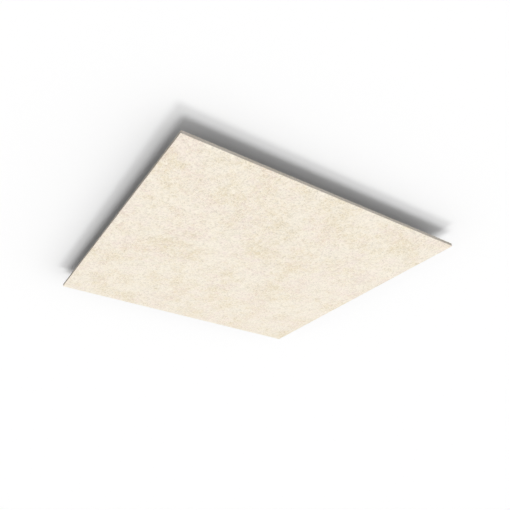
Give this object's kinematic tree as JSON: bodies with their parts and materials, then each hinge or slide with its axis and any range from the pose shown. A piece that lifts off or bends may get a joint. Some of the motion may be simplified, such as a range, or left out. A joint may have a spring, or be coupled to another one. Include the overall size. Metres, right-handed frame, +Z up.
{
  "type": "suspended ceiling tile",
  "caption": "Square felt ceiling tile with softened cut edges, hung face down a hand's width below a ceiling to soak up sound in a room.",
  "frame": {"origin": "centre of the visible face, which is the finished ceiling level", "axes": "+Z up, from the visible face through the board towards the ceiling; X and Y along the two pairs of cut edges"},
  "size_m": [1.2, 1.2, 0.012],
  "materials": {
    "felt": "matt pressed felt in mottled cream, with soft tan patches and pale fibre flecks"
  },
  "bodies": {
    "root": {"felt_board": "felt"}
  },
  "joints": []
}
